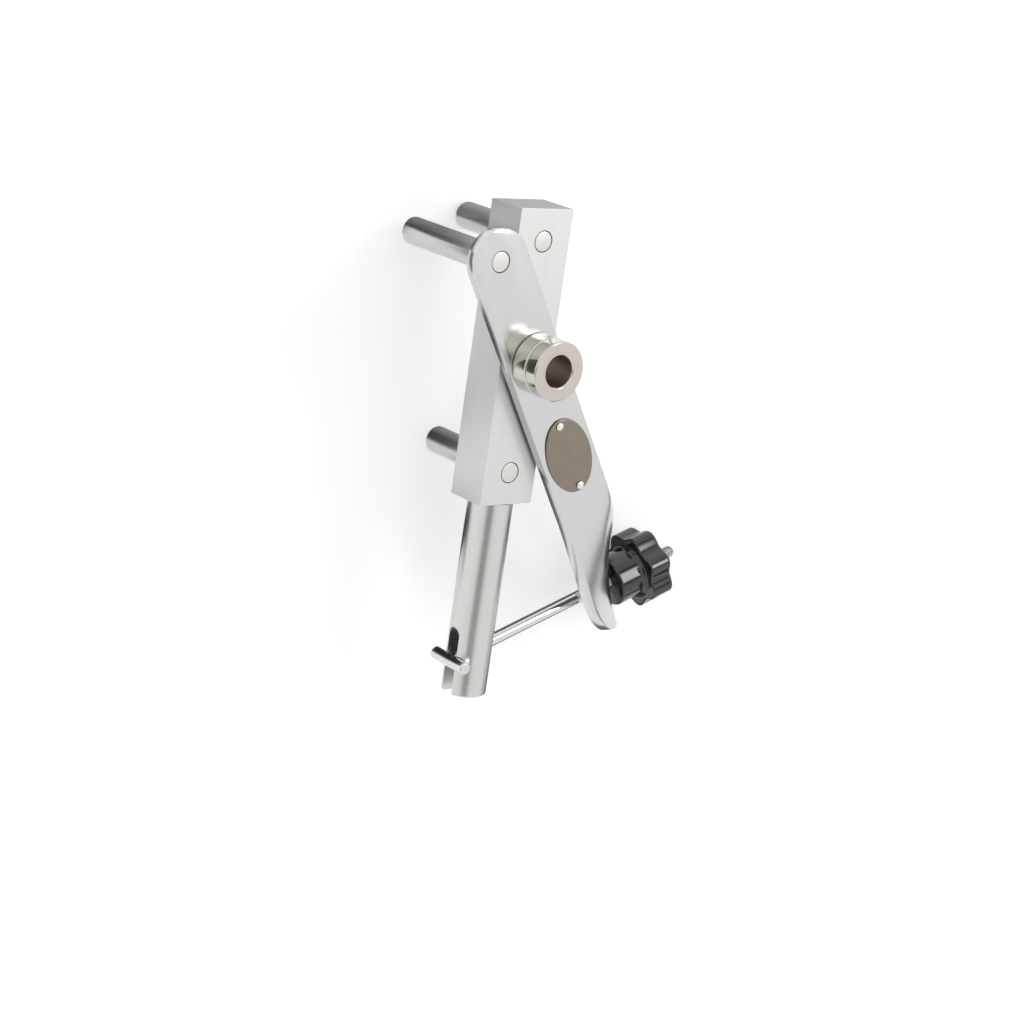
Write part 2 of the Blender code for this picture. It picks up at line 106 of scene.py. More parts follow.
class Finish:
    """A material or world as it is put together, node by node."""

    def __init__(self, holder):
        self.holder = holder
        holder.use_nodes = True
        self.tree = holder.node_tree
        self.shader = self.tree.nodes.get("Principled BSDF")

    def node(self, kind, settings=None, links=None, output=0):
        """One node, its settings first and then its sockets' values or links; gives the chosen output."""
        made = self.tree.nodes.new(kind)
        for name, setting in (settings or {}).items():
            setattr(made, name, setting)
        self.fill(made, links or {})
        return Value(self, made.outputs[output])

    def fill(self, made, links):
        for name, value in links.items():
            if isinstance(value, Value):
                self.tree.links.new(value.socket, made.inputs[name])
            else:
                made.inputs[name].default_value = value

    def set(self, **links):
        """Fills the Principled shader's sockets; an underscore in a name stands for a space."""
        self.fill(self.shader, {name.replace("_", " "): value for name, value in links.items()})

    def colours(self, factor, first, second):
        """A blend from the first colour to the second."""
        colour = [value if isinstance(value, Value) else (*value, 1) for value in (first, second)]
        return self.node("ShaderNodeMix", {"data_type": "RGBA"}, {0: factor, 6: colour[0], 7: colour[1]}, 2)

    def combined(self, operation, first, second=None, output=0):
        """Vector arithmetic; output 1 gives a number, such as a dot product or a length."""
        links = {0: first} if second is None else {0: first, 1: second}
        return self.node("ShaderNodeVectorMath", {"operation": operation}, links, output)

    def where(self):
        return self.node("ShaderNodeTexCoord", output=3)

    def facing(self, direction):
        """How far the surface's own normal points along a direction, from -1 to 1."""
        normal = self.node("ShaderNodeNewGeometry", output=1)
        return self.combined("DOT_PRODUCT", normal, tuple(direction), 1)

    def along(self, direction, origin=(0, 0, 0)):
        """Distance along a direction from an origin, in metres."""
        moved = self.combined("SUBTRACT", self.where(), tuple(origin))
        return self.combined("DOT_PRODUCT", moved, tuple(direction), 1)

    def off_axis(self, direction, origin):
        """Distance from the line through origin along a direction, in metres."""
        moved = self.combined("SUBTRACT", self.where(), tuple(origin))
        across = self.combined("CROSS_PRODUCT", moved, tuple(direction))
        return self.combined("LENGTH", across, output=1)

    def noise(self, place, scale, detail=2.0):
        return self.node("ShaderNodeTexNoise", {}, {"Vector": place, "Scale": scale, "Detail": detail})

    def vector(self, x, y, z):
        return self.node("ShaderNodeCombineXYZ", {}, {0: x, 1: y, 2: z})

    def grain(self, direction, across, length, detail=2.0):
        """Streaks that run along a direction, of a width and a length in metres."""
        direction = np.array(direction) / np.linalg.norm(direction)
        side = np.cross(direction, (0.35, 0.62, 0.70))
        side /= np.linalg.norm(side)
        third = np.cross(direction, side)
        ways = ((side, across), (direction, length), (third, across))
        place = self.vector(*[self.along(way) * (1 / size) for way, size in ways])
        return self.noise(place, 1.0, detail)

    def rings(self, direction, origin, width):
        """Turning marks round a line: they change along it and away from it, and not round it."""
        along = self.along(direction, origin) * (1 / width)
        outward = self.off_axis(direction, origin) * (1 / width)
        return self.noise(self.vector(along, outward, 0), 1.0, 3.0)

    def bumped(self, height, strength, distance):
        links = {"Height": height, "Strength": strength, "Distance": distance}
        return self.node("ShaderNodeBump", {}, links)


def material(name):
    return Finish(bpy.data.materials.new(name))


def seen_directly(finish):
    """1 for the rays that show the background: from the camera, and from gloss and glass."""
    outputs = finish.node("ShaderNodeLightPath").socket.node.outputs
    names = ("Is Camera Ray", "Is Glossy Ray", "Is Transmission Ray")
    camera_ray, glossy_ray, transmission_ray = [Value(finish, outputs[name]) for name in names]
    return camera_ray + glossy_ray + transmission_ray


surround = Finish(bpy.data.worlds.new("white_surround"))
bpy.context.scene.world = surround.holder
sky = surround.tree.nodes["Background"]


def sky_toward(direction):
    """How near the sky's direction is to a given one, from -1 to 1."""
    return surround.combined("DOT_PRODUCT", surround.node("ShaderNodeTexCoord", output=0), direction, 1)


def sky_gap(direction, edge, middle):
    """1 in the middle of a round dark gap between the softboxes, 0 outside it; both radii in degrees."""
    start, full = [math.cos(math.radians(angle)) for angle in (edge, middle)]
    return surround.node(
        "ShaderNodeMapRange", {"interpolation_type": "SMOOTHSTEP"},
        {0: sky_toward(direction), 1: start, 2: full, 3: 0.0, 4: 1.0},
    )


gap_overhead = sky_gap((-0.270, -0.170, 0.947), 24, 9) * 0.80
gap_past_the_top = sky_gap((0.390, 0.745, 0.542), 9, 4) * 0.75
gap_at_the_right = sky_gap((0.787, -0.005, 0.617), 5.0, 2.5) * 0.75
studio_gap = gap_overhead + gap_past_the_top + gap_at_the_right
plain_sky = 0.76 + sky_toward((0.0, 0.0, 1.0)) * 0.08
shown = seen_directly(surround)
from_camera = surround.node("ShaderNodeLightPath")
sky_strength = plain_sky * (1 - shown) + shown - studio_gap * (1 - from_camera)
surround.fill(sky, {"Color": (1, 1, 1, 1), "Strength": sky_strength})


def lamp(name, place, width, depth, power):
    """A rectangular softbox that faces the middle of the tool."""
    light = bpy.data.lights.new(name, "AREA")
    light.shape = "RECTANGLE"
    light.size = width
    light.size_y = depth
    light.energy = power
    item = bpy.data.objects.new(name, light)
    aim = -np.array(place)
    item.location = place
    item.rotation_euler = (math.atan2(math.hypot(aim[0], aim[1]), -aim[2]), 0, math.atan2(-aim[0], aim[1]))
    item.visible_camera = False
    bpy.context.scene.collection.objects.link(item)


lamp("strip_softbox", (0.841, 0.493, 0.885), 0.86, 0.22, 3.5)
lamp("overhead_softbox", (0.00, 0.60, 1.25), 0.9, 0.5, 0.5)
lamp("left_softbox", (-1.20, 0.10, 0.40), 0.9, 0.5, 0.4)

table_half = 4
table_glow = 0.34
table = material("white_table")
table.set(Base_Color=(0.90, 0.90, 0.90, 1), Roughness=0.9, Specular_IOR_Level=0.0)
table.set(Emission_Color=(1, 1, 1, 1), Emission_Strength=seen_directly(table) * table_glow)
floor_mesh = bpy.data.meshes.new("table")
corners = [(x * table_half, y * table_half, 0) for x, y in ((-1, -1), (1, -1), (1, 1), (-1, 1))]
floor_mesh.from_pydata(corners, [], [(0, 1, 2, 3)])
floor_mesh.materials.append(table.holder)
floor = bpy.data.objects.new("table", floor_mesh)
bpy.context.scene.collection.objects.link(floor)

card_cloth = material("card_cloth")
card_tone = card_cloth.node("ShaderNodeAttribute", {"attribute_name": "tone"})
card_cloth.set(Base_Color=card_tone, Roughness=1.0, Specular_IOR_Level=0.0)


def joined(name, grid, index):
    """A mesh of a grid's points, with a four-sided face between each two rows and columns of the index."""
    corners = [index[:-1, :-1], index[:-1, 1:], index[1:, 1:], index[1:, :-1]]
    mesh = bpy.data.meshes.new(name)
    mesh.from_pydata(grid.reshape(-1, 3).tolist(), [], np.stack(corners, axis=-1).reshape(-1, 4).tolist())
    return mesh


def studio_card(name, grid, tones):
    """A card that only gloss sees, from a grid of points; its grey goes by the grid's column."""
    rows, columns = grid.shape[:2]
    mesh = joined(name, grid, np.arange(rows * columns).reshape(rows, columns))
    shade = mesh.attributes.new("tone", "FLOAT", "POINT")
    shade.data.foreach_set("value", np.tile(np.asarray(tones, float), rows))
    mesh.materials.append(card_cloth.holder)
    card = bpy.data.objects.new(name, mesh)
    card.visible_camera = card.visible_diffuse = card.visible_shadow = card.visible_transmission = False
    bpy.context.scene.collection.objects.link(card)


card_height = 0.0006
studio_card("standing_card", np.array([
    [(0.36, 0.03, 0.0), (0.36, 0.03, 0.03), (0.36, 0.03, 0.052)],
    [(0.36, -0.32, 0.0), (0.36, -0.32, 0.03), (0.36, -0.32, 0.052)],
]), [0.05, 0.03, 0.06])
studio_card("bush_card", np.array([
    [(-0.126, 0.000, card_height), (-0.200, 0.000, card_height)],
    [(-0.126, 0.100, card_height), (-0.200, 0.100, card_height)],
]), [0.06, 0.06])


# The bar is one length of rectangular aluminium. Its four long faces are linished along their length, its
# ends are sawn and dressed, and it is bored for two pins, the pivot's sleeve and the post's spigot. The ends
# are rougher, and their darker colour is painted shade.
bar_depth = 0.01905
bar_edge = 0.00028


def place_piece(name, mesh, node):
    """Puts a mesh in the scene in a CAD node's place, on that node's body."""
    item = bpy.data.objects.new(name, mesh)
    bpy.context.scene.collection.objects.link(item)
    bodies = frame["record"]["behaviour"]["bodies"]
    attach(item, next(body for body, nodes in bodies.items() if node in nodes))
    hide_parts(node)
    return item


def edged_copy(name, node, finish, edge, segments=3, smooth_below=30.0):
    """A copy of a CAD node's mesh, its triangles joined and its edges broken, that stands for the node."""
    shape = bmesh.new()
    shape.from_mesh(frame["nodes"][node].data)
    bmesh.ops.remove_doubles(shape, verts=shape.verts, dist=2e-6)
    bmesh.ops.dissolve_degenerate(shape, edges=shape.edges, dist=1e-6)
    flat = math.radians(0.4)
    bmesh.ops.dissolve_limit(
        shape, angle_limit=flat, use_dissolve_boundaries=False, verts=shape.verts, edges=shape.edges
    )
    mesh = bpy.data.meshes.new(name)
    shape.to_mesh(mesh)
    shape.free()
    mesh.shade_smooth()
    mesh.set_sharp_from_angle(angle=math.radians(smooth_below))
    mesh.materials.append(finish.holder)
    step = place_piece(name, mesh, node).modifiers.new("Broken edges", "BEVEL")
    step.width = edge
    step.segments = segments
    step.limit_method = "ANGLE"
    step.angle_limit = math.radians(40)
    step.harden_normals = True


bar_finish = material("bar_aluminium")
long_grain = bar_finish.grain(up, 0.00022, 0.012, 3.0)
broad_grain = bar_finish.grain(up, 0.0016, 0.060)
clouds = bar_finish.noise(bar_finish.where(), 90.0, 3.0)
# The end faces, square to the bar's length, get a rougher sawn finish and a painted shade.
sawn_and_shaded_ends = bar_finish.node("ShaderNodeMath", {"operation": "ABSOLUTE"}, {0: bar_finish.facing(up)}) > 0.9
bar_tone = long_grain * 0.5 + broad_grain * 0.3 + clouds * 0.2
bar_colour = bar_finish.colours(bar_tone, (0.600, 0.595, 0.585), (0.735, 0.730, 0.720))
# This darker end colour is painted shade: it sets how dark the end faces look.
bar_colour = bar_finish.colours(sawn_and_shaded_ends * 0.8, bar_colour, (0.31, 0.306, 0.296))
bar_finish.set(
    Base_Color=bar_colour, Metallic=1.0, Roughness=0.34 + long_grain * 0.14 + sawn_and_shaded_ends * 0.12,
    Normal=bar_finish.bumped(long_grain, 0.12, 0.00004),
)
edged_copy("linished_bar", "guide_bar", bar_finish, bar_edge)


# The three guide pins are hardened and ground bright. Each has a narrower head that is pressed through its
# carrier and dressed flush, so it shows as a pale disc in a fine dark ring.
pin_shank = 0.01110
pin_head = 0.00800
pin_sunk = 0.00005
shoulder_gap = 0.0003
pin_from_pivot = 0.0460
pin_reach = 0.0515
nose_round = 0.0026
tip_bevel = 0.0024


def soft_profile(points, radius, steps=4):
    """A profile with each inner corner made a small curve, a quadratic one between two cut-back points."""
    points = np.array(points, float)
    shaped = [points[:1]]
    blend = np.linspace(0, 1, steps + 1)[:, None]
    for before, corner, after in zip(points, points[1:], points[2:]):
        to_before = before - corner
        to_after = after - corner
        sides = np.linalg.norm(to_before), np.linalg.norm(to_after)
        back_off = min(radius, sides[0] * 0.45, sides[1] * 0.45)
        first = corner + to_before / sides[0] * back_off
        last = corner + to_after / sides[1] * back_off
        shaped.append((1 - blend) ** 2 * first + 2 * blend * (1 - blend) * corner + blend ** 2 * last)
    shaped.append(points[-1:])
    return np.concatenate(shaped)


def grid_mesh(name, grid, wrap_rows=False):
    """A mesh whose rows of points are closed rings; merges poles and turns all faces outwards."""
    rows, columns = grid.shape[:2]
    index = np.arange(rows * columns).reshape(rows, columns)
    index = np.concatenate([index, index[:, :1]], axis=1)
    if wrap_rows:
        index = np.concatenate([index, index[:1]])
    mesh = joined(name, grid, index)
    shape = bmesh.new()
    shape.from_mesh(mesh)
    bmesh.ops.remove_doubles(shape, verts=shape.verts, dist=1e-7)
    bmesh.ops.recalc_face_normals(shape, faces=shape.faces)
    shape.to_mesh(mesh)
    shape.free()
    mesh.shade_smooth()
    return mesh


def ring_round(direction, side, segments):
    """Steps of one metre out from an axis, evenly round it from a side: cosine along it, sine square to it."""
    side = side / np.linalg.norm(side)
    angle = np.arange(segments) * 2 * math.pi / segments
    return np.cos(angle)[:, None] * side + np.sin(angle)[:, None] * np.cross(direction, side)


def turned_grid(profile, origin, direction, segments):
    """Points at each profile (distance, radius), carried round the line through origin along direction."""
    direction = np.array(direction) / np.linalg.norm(direction)
    ring = ring_round(direction, np.cross(direction, (0.31, 0.17, 0.94)), segments)
    return origin + profile[:, None, :1] * direction + profile[:, None, 1:2] * ring[None]


def turned_piece(name, node, profile, origin, direction, finish, soft=0.0003, segments=96, closed=False):
    """A turned piece that stands for a CAD node: its profile's corners are softened and then spun."""
    if closed:
        around = soft_profile(profile + profile[:2], soft)[1:-1]
        mesh = grid_mesh(name, turned_grid(around, origin, direction, segments), True)
    else:
        mesh = grid_mesh(name, turned_grid(soft_profile(profile, soft), origin, direction, segments))
    item = place_piece(name, mesh, node)
    mesh.materials.append(finish.holder)
    item.modifiers.new("Flat faces stay flat", "WEIGHTED_NORMAL")
    return item


def pin_finish(name, origin):
    finish = material(name)
    marks = finish.rings(back, origin, 0.00035)
    haze = finish.noise(finish.where(), 260.0, 3.0)
    scratches = finish.grain(back, 0.00012, 0.004)
    head = finish.along(back, origin) < 0.0004
    steel = finish.colours(marks * 0.6 + haze * 0.4, (0.52, 0.52, 0.53), (0.70, 0.70, 0.70))
    finish.set(
        Base_Color=finish.colours(head, steel, (0.68, 0.665, 0.645)), Metallic=1.0,
        Roughness=0.18 + marks * 0.08 + scratches * 0.05 + head * 0.12,
        Normal=finish.bumped(marks, 0.08, 0.00002),
    )
    return finish


def pressed_head(carrier):
    """The start of a pin's profile: its head, a little below its carrier's face, and a shoulder behind it."""
    shoulder = carrier + shoulder_gap
    return [(pin_sunk, 0), (pin_sunk, pin_head / 2), (shoulder, pin_head / 2), (shoulder, pin_shank / 2)]


def pin_card(name, foot, stretch, radius, band, left_limit, way=back):
    """A graded card on the table that one pin shows as its dark band: for each place along the pin and across
    it, the point where the camera's ray, mirrored on the pin's side, meets the table. A band is places across
    the pin, from -1 at its upper edge to 1 at its lower one, and their greys. Beside the bar the card ends at a
    left limit, so that the bar's side doesn't show it."""
    places, tones = band
    line = (foot + np.linspace(*stretch, 12)[:, None] * way)[:, None, :]
    across = np.linspace(places[0], places[-1], 28)[None, :, None]
    eye = np.array(camera.location)
    facing = (eye - line) - ((eye - line) @ way)[..., None] * way
    facing /= np.linalg.norm(facing, axis=2, keepdims=True)
    upward = np.cross(facing, way)
    upward *= np.sign(upward @ up)[..., None]
    normal = np.sqrt(1 - across ** 2) * facing - across * upward
    point = line + radius * normal
    view = eye - point
    view /= np.linalg.norm(view, axis=2, keepdims=True)
    mirrored = 2 * (view * normal).sum(2, keepdims=True) * normal - view
    least_fall = 0.05
    fall = np.maximum(point[..., 2:] - card_height, 0) / np.maximum(-mirrored[..., 2:], least_fall)
    spot = point + mirrored * fall
    beside_bar = spot[..., 1] < bar_top
    spot[..., 0] = np.where(beside_bar, np.maximum(spot[..., 0], left_limit), spot[..., 0])
    spot[..., 2] = card_height
    studio_card(name, spot, np.interp(across[0, :, 0], places, tones))


bar_top = 0.095
pin_left_limit = -0.083
pin_band = (-0.98, -0.75, -0.50, -0.32, 0.06, 0.17, 0.30), (0.62, 0.50, 0.30, 0.11, 0.10, 0.25, 0.80)
turn = np.linspace(0, math.pi / 2, 9)
nose = (pin_reach, pin_shank / 2) - nose_round * (1 - np.stack([np.sin(turn), np.cos(turn)], axis=1))
tips = {
    "upper": nose.tolist(),
    "lower": [(pin_reach - tip_bevel, pin_shank / 2), (pin_reach, pin_shank / 2 - tip_bevel)],
}
for which, side in (("upper", 1), ("lower", -1)):
    foot = at(0, 0, side * pin_from_pivot)
    profile = pressed_head(bar_depth) + tips[which] + [(pin_reach, 0)]
    steel = pin_finish("pin_steel_" + which, foot)
    turned_piece("ground_pin_" + which, which + "_bar_pin", profile, foot, back, steel)
    pin_card("card_" + which, foot, (bar_depth, pin_reach), pin_shank / 2, pin_band, pin_left_limit)

arm_angle = math.radians(31.5)
arm_right = math.cos(arm_angle) * right + math.sin(arm_angle) * up
arm_down = math.sin(arm_angle) * right - math.cos(arm_angle) * up
arm_back_face = -0.0015
arm_plate = 0.0045
arm_front_face = arm_back_face - arm_plate


def on_arm(across, down, depth=0.0):
    """A place on the arm: across it, down its length from the pivot, and behind the bar's front face."""
    return pivot + across * arm_right + down * arm_down + depth * back


arm_pin_foot = on_arm(0, -pin_from_pivot, arm_front_face)
arm_pin_reach = pin_reach - arm_front_face
arm_tip_bevel = 0.0007
profile = pressed_head(arm_plate) + [
    (arm_pin_reach - arm_tip_bevel, pin_shank / 2), (arm_pin_reach, pin_shank / 2 - arm_tip_bevel),
    (arm_pin_reach, 0),
]
arm_pin_steel = pin_finish("pin_steel_arm", arm_pin_foot)
turned_piece("ground_pin_arm", "arm_pin", profile, arm_pin_foot, back, arm_pin_steel)
pin_card("card_arm", arm_pin_foot, (arm_plate, arm_pin_reach), pin_shank / 2, pin_band, pin_left_limit)


# The pivot: a hard sleeve through bar and arm, a washer between them, a bright nickel collar that keeps the
# arm on, and the headed drill bush. The bush's bore is hardened and rougher; its darker, warmer tone is
# painted shade inside the hole.
fit_gap = 0.0003
plated_bevel = 0.00045
sleeve_width = 0.01905
collar_length = 0.0080
collar_front = arm_front_face - fit_gap - collar_length
bush_head_length = 0.0060
bush_front = collar_front - fit_gap - bush_head_length
bush_head = 0.0237
bush_body = 0.0160
bush_bore = 0.0127


def nickel_finish(name):
    finish = material(name)
    marks = finish.rings(back, pivot, 0.00030)
    haze = finish.noise(finish.where(), 180.0, 3.0)
    # The bore gets a darker, warmer colour, which is painted shade inside the hole, and a rougher finish.
    bore_painted_shade = finish.off_axis(back, pivot) < bush_bore / 2 + 0.00012
    plating = finish.colours(marks * 0.5 + haze * 0.5, (0.52, 0.480, 0.435), (0.66, 0.625, 0.580))
    finish.set(
        Base_Color=finish.colours(bore_painted_shade, plating, (0.54, 0.475, 0.42)), Metallic=1.0,
        Roughness=0.09 + marks * 0.07 + bore_painted_shade * 0.26, Normal=finish.bumped(marks, 0.10, 0.00002),
    )
    return finish


nickel = nickel_finish("bush_nickel")
head_back = bush_front + bush_head_length
bush_profile = [
    (bush_front, bush_bore / 2 + plated_bevel), (bush_front, bush_head / 2 - plated_bevel),
    (bush_front + plated_bevel, bush_head / 2), (head_back - plated_bevel, bush_head / 2),
    (head_back, bush_head / 2 - plated_bevel), (head_back, bush_body / 2), (bar_depth, bush_body / 2),
    (bar_depth, bush_bore / 2), (bush_front + plated_bevel, bush_bore / 2),
]
turned_piece("plated_bush", "drill_bush", bush_profile, pivot, back, nickel, 0.00012, 128, True)
collar_back = collar_front + collar_length
on_sleeve = sleeve_width / 2 + fit_gap
collar_profile = [
    (collar_front, on_sleeve), (collar_front, bush_head / 2 - plated_bevel),
    (collar_front + plated_bevel, bush_head / 2), (collar_back - plated_bevel, bush_head / 2),
    (collar_back, bush_head / 2 - plated_bevel), (collar_back, on_sleeve),
]
turned_piece("plated_collar", "pivot_collar", collar_profile, pivot, back, nickel, 0.00012, 128, True)
# The sleeve and washer have a pin's steel, whose paler head tone ends far in front of them.
sleeve_steel = pin_finish("sleeve_steel", tuple(pivot - 0.1 * back))
round_bush = bush_body / 2 + fit_gap
sleeve_profile = [
    (collar_front, round_bush), (collar_front, sleeve_width / 2), (bar_depth, sleeve_width / 2),
    (bar_depth, round_bush),
]
turned_piece("hard_sleeve", "pivot_sleeve", sleeve_profile, pivot, back, sleeve_steel, 0.0002, 96, True)
washer_front = arm_back_face + fit_gap
washer_profile = [
    (washer_front, on_sleeve), (washer_front, bush_head / 2), (-fit_gap, bush_head / 2), (-fit_gap, on_sleeve),
]
turned_piece("thrust_washer", "pivot_washer", washer_profile, pivot, back, sleeve_steel, 0.0001, 96, True)


# The arm is flat steel with a round top. Its faces are satin along its length and its edges are polished.
# The lower end is rolled round until its right side turns square to the rod, as a seat for the knob.
arm_edge = 0.0008
arm_finish = material("arm_steel")
satin = arm_finish.grain(arm_down, 0.00016, 0.014, 3.0)
arm_clouds = arm_finish.noise(arm_finish.where(), 70.0, 3.0)
arm_tone = satin * 0.5 + arm_clouds * 0.5
arm_finish.set(
    Base_Color=arm_finish.colours(arm_tone, (0.605, 0.605, 0.602), (0.670, 0.669, 0.665)), Metallic=1.0,
    Roughness=0.20 + satin * 0.06, Normal=arm_finish.bumped(satin, 0.03, 0.00002),
)
edged_copy("satin_arm", "arm", arm_finish, arm_edge, 5, smooth_below=38.0)


# The badge is a bare oval plate of dark toned metal, with its edge turned down a little, and two bright
# round-headed rivets hold it on the arm.
badge_finish = material("badge_metal")
badge_grain = badge_finish.grain(arm_down + 0.4 * arm_right, 0.00020, 0.006, 3.0)
badge_clouds = badge_finish.noise(badge_finish.where(), 240.0, 3.0)
badge_tone = badge_grain * 0.5 + badge_clouds * 0.5
badge_finish.set(
    Base_Color=badge_finish.colours(badge_tone, (0.212, 0.180, 0.144), (0.298, 0.260, 0.213)), Metallic=1.0,
    Roughness=0.30 + badge_clouds * 0.12, Normal=badge_finish.bumped(badge_grain, 0.15, 0.00003),
)
badge_half = np.array((0.0106, 0.0167))
badge_back = arm_front_face - 0.0003
badge_middle = 0.0447


def badge_grid(columns=128):
    """An oval carried round its middle: flat inside, then a quarter round down at the rim, and flat behind."""
    angle = np.arange(columns) * 2 * math.pi / columns
    oval = np.stack([np.cos(angle), np.sin(angle)], axis=1)
    turn = np.linspace(0, math.pi / 2, 6)
    inset = np.concatenate([[1.0, 0.6, 0.2], 0.00045 / 0.0106 * (1 - np.sin(turn)), [0.0, 0.03, 1.0]])
    rise = np.concatenate([[0.0006] * 3, 0.0006 - 0.00045 * (1 - np.cos(turn)), [0.0, 0.0, 0.0]])
    flat = (1 - inset)[:, None, None] * (oval * badge_half)[None]
    return (
        on_arm(0, badge_middle, badge_back) + flat[..., :1] * arm_right + flat[..., 1:] * arm_down
        + rise[:, None, None] * front
    )


badge = place_piece("oval_badge", grid_mesh("oval_badge", badge_grid()), "badge_plate")
badge.data.materials.append(badge_finish.holder)

rivet_finish = material("rivet_steel")
rivet_haze = rivet_finish.noise(rivet_finish.where(), 900.0, 3.0)
rivet_finish.set(
    Base_Color=rivet_finish.colours(rivet_haze, (0.72, 0.71, 0.69), (0.90, 0.89, 0.87)), Metallic=1.0,
    Roughness=0.14 + rivet_haze * 0.16, Normal=rivet_finish.bumped(rivet_haze, 0.2, 0.00004),
)
dome_angle = np.linspace(0, math.pi / 2, 9)
for which, side in (("upper", -1), ("lower", 1)):
    foot = on_arm(0, badge_middle + side * 0.01435, arm_front_face)
    dome = np.stack([-0.0012 - 0.0009 * np.cos(dome_angle), 0.0017 * np.sin(dome_angle)], axis=1)
    profile = [tuple(point) for point in dome] + [(-0.0012, 0.0009), (0.0022, 0.0009), (0.0022, 0)]
    turned_piece("round_rivet_" + which, "badge_rivet_" + which, profile, foot, back, rivet_finish, 0.0001, 40)


# The post is turned from round bar and let into the bar's lower end. Its foot is slotted for the rod, and a
# groove across the slot is the seat that the rod's cross pin rolls in.
post_finish = material("post_steel")
post_axis = at(0, bar_depth / 2, -0.0593)
turning = post_finish.rings(up, post_axis, 0.00045)
speckle = post_finish.noise(post_finish.where(), 1300.0, 3.0)
post_tone = turning * 0.5 + speckle * 0.5
post_finish.set(
    Base_Color=post_finish.colours(post_tone, (0.54, 0.532, 0.516), (0.74, 0.732, 0.716)), Metallic=1.0,
    Roughness=0.24 + turning * 0.12, Normal=post_finish.bumped(post_tone, 0.15, 0.00004),
)
edged_copy("slotted_post", "post", post_finish, edge=0.0002)


# The clamp rod is chrome plated, smooth by the post and threaded where the knob runs. Its neck is let into
# the cross pin, which hooks in the post's seat.
seat = np.array(joints["rod_swing"]["pos_m"])
rod_way = np.array(joints["knob_travel"]["axis"])
rod_way /= np.linalg.norm(rod_way)
rod_radius = 0.00255
rod_end = 0.1170
shank_start = 0.0060
thread_start = 0.0640
thread_pitch = 0.0008
thread_depth = 0.00049

chrome = material("rod_chrome")
rod_off = chrome.off_axis(rod_way, seat)
threaded = chrome.along(rod_way, seat) > thread_start
root = (rod_off < rod_radius - 0.6 * thread_depth) * threaded
haze = chrome.noise(chrome.where(), 500.0, 3.0)
plating = chrome.colours(haze, (0.62, 0.62, 0.63), (0.74, 0.74, 0.74))
chrome.set(
    Base_Color=chrome.colours(root, plating, (0.66, 0.65, 0.64)),
    Metallic=1.0, Roughness=0.05 + haze * 0.05 + threaded * 0.14,
)


def threaded_rod(segments=32, per_turn=10):
    """A plain shank, then a radius that falls and rises once a pitch and lags with the angle round the rod."""
    neck = [(-0.0012, 0), (-0.0012, 0.0013), (0.00295, 0.0013), (0.00295, rod_radius)]
    plain = soft_profile(neck + [(shank_start, rod_radius)], 0.0001)
    middle = np.linspace(shank_start, thread_start - 0.001, 40)[1:]
    smooth = np.concatenate([plain, np.stack([middle, np.full_like(middle, rod_radius)], axis=1)])
    along = np.arange(thread_start, rod_end - 0.0006, thread_pitch / per_turn)[:, None]
    phase = (along / thread_pitch - np.arange(segments) / segments) % 1.0
    tooth = np.clip(np.abs(phase - 0.5) * 2.5 - 0.12, 0, 1)
    run_in = np.clip((along - thread_start) / 0.0015, 0, 1)
    run_out = np.clip((rod_end - along) / 0.0012, 0, 1)
    radius = rod_radius - thread_depth * tooth * run_in - 0.0005 * (1 - run_out)
    thread = np.stack([np.repeat(along, segments, 1), radius], axis=2)
    tip = np.array([(rod_end, 0.0018), (rod_end, 0)])
    shank, tip = [np.repeat(part[:, None], segments, 1) for part in (smooth, tip)]
    points = np.concatenate([shank, thread, tip])
    ring = ring_round(rod_way, np.cross(rod_way, front), segments)
    return seat + points[..., :1] * rod_way + points[..., 1:] * ring


rod = place_piece("threaded_rod", grid_mesh("threaded_rod", threaded_rod()), "clamp_rod")
rod.data.set_sharp_from_angle(angle=math.radians(50))
rod.data.materials.append(chrome.holder)
half_pin = 0.0104
cross_radius = 0.00265
cross_bevel = 0.0005
cross_profile = [
    (-half_pin, 0), (-half_pin, cross_radius - cross_bevel), (-half_pin + cross_bevel, cross_radius),
    (half_pin - cross_bevel, cross_radius), (half_pin, cross_radius - cross_bevel), (half_pin, 0),
]
turned_piece("rolling_cross_pin", "cross_pin", cross_profile, seat, back, chrome, 0.0002, 64)
rod_left_limit = -0.115
shank = (shank_start, 0.080)
cross_band = (-0.98, -0.70, -0.15, 0.02, 0.16), (0.16, 0.05, 0.03, 0.20, 0.70)
top_band = (-0.98, -0.86, -0.72, -0.60), (0.50, 0.22, 0.30, 0.10)
bottom_band = (0.84, 0.92, 0.985), (0.40, 0.12, 0.35)
pin_card("card_cross", seat, (-half_pin, half_pin), cross_radius, cross_band, rod_left_limit)
pin_card("card_rod_above", seat, shank, rod_radius, top_band, rod_left_limit, rod_way)
pin_card("card_rod_below", seat, shank, rod_radius, bottom_band, rod_left_limit, rod_way)


# The knob is one gloss black moulding, a seven-lobed head on a round boss, and a brass insert that is moulded
# in carries the thread. Its edges are rounded as a mould leaves them.
knob_face = np.array(joints["knob_spin"]["pos_m"])
boss_radius = 0.01055
boss_length = 0.0124
head_radius = 0.01630
head_length = 0.0108
hollow = 0.0023
lobes = 7
lobe_turn = math.radians(2.35)
head_round = 0.0018
boss_round = 0.0008
neck_round = 0.0026
lip_round = 0.0007
knob_bore = 0.00505
rod_hole = 0.0030


def knob_corner(distance, along, radius, outward, share, steps=7):
    """A corner of the profile: a quarter of an ellipse from an end face at distance to a side at radius."""
    turn = np.linspace(0, math.pi / 2, steps)
    far, out = 1 - np.sin(turn), 1 - np.cos(turn)
    rows = np.stack([distance + along * far, radius + outward * out, np.full(steps, share)], axis=1)
    return rows[::-1] if along > 0 else rows


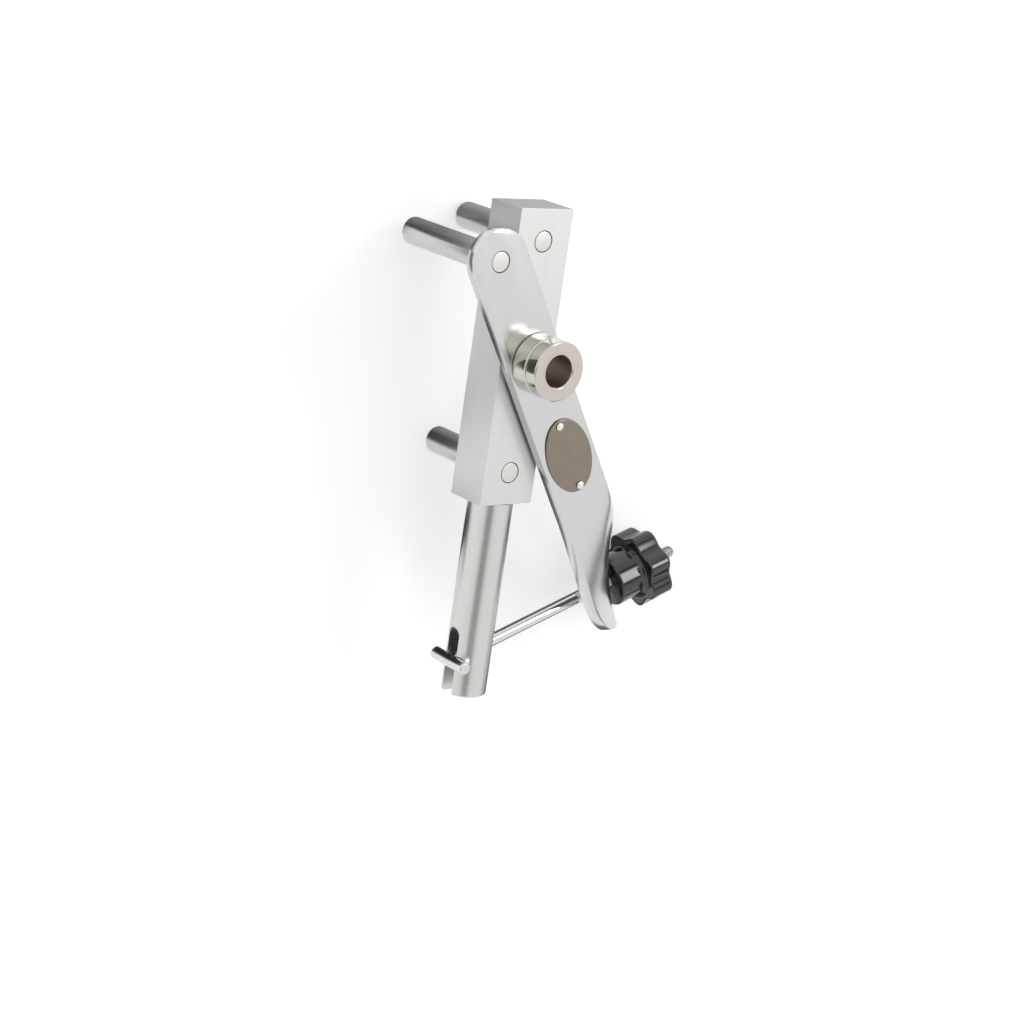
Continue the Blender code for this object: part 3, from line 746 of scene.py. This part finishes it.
def knob_grid(columns=168):
    """Profile points (distance, radius, hollow's share) round the rod; the hollows follow seven waves."""
    end = boss_length + head_length
    rows = np.concatenate([
        [(0.0029, knob_bore, 0), (0.0029, rod_hole, 0), (0.0003, rod_hole, 0), (0, rod_hole + 0.0003, 0)],
        knob_corner(0, boss_round, boss_radius, -boss_round, 0.0),
        knob_corner(boss_length, -neck_round, boss_radius, neck_round * 0.6, 0.0),
        knob_corner(boss_length, lip_round, head_radius, -lip_round, 1.0),
        knob_corner(end, -head_round, head_radius, -head_round, 1.0),
        [(end, 0.0095, 0.25), (end, knob_bore + 0.0004, 0), (end - 0.0004, knob_bore, 0)],
    ])
    angle = np.arange(columns) * 2 * math.pi / columns
    wave = 0.5 + 0.5 * np.cos(lobes * (angle - lobe_turn))
    radius = rows[:, 1:2] - rows[:, 2:3] * hollow * wave[None]
    ring = ring_round(rod_way, front - np.dot(front, rod_way) * rod_way, columns)
    return knob_face + rows[:, None, :1] * rod_way + radius[..., None] * ring[None]


knob_finish = material("knob_black")
orange_peel = knob_finish.noise(knob_finish.where(), 420.0, 2.0)
dust = knob_finish.noise(knob_finish.where(), 1500.0, 3.0)
knob_finish.set(
    Base_Color=knob_finish.colours(dust, (0.007, 0.006, 0.006), (0.014, 0.013, 0.012)), Metallic=0.0,
    Specular_IOR_Level=0.8, Roughness=0.09 + dust * 0.06, Normal=knob_finish.bumped(orange_peel, 0.02, 0.00005),
)
knob = place_piece("star_knob", grid_mesh("star_knob", knob_grid(), True), "knob")
knob.data.set_sharp_from_angle(angle=math.radians(50))
flat_ends = knob.modifiers.new("Flat faces stay flat", "WEIGHTED_NORMAL")
flat_ends.keep_sharp = True
knob.data.materials.append(knob_finish.holder)

brass = material("insert_brass")
brass_marks = brass.rings(rod_way, knob_face, 0.0003)
brass.set(
    Base_Color=brass.colours(brass_marks, (0.52, 0.37, 0.16), (0.72, 0.54, 0.27)), Metallic=1.0,
    Roughness=0.20 + brass_marks * 0.12,
)
insert_profile = [(0.0030, 0.00285), (0.0030, 0.00475), (0.0182, 0.00475), (0.0182, 0.00285)]
turned_piece("brass_insert", "knob_insert", insert_profile, knob_face, rod_way, brass, 0.0002, 48, True)
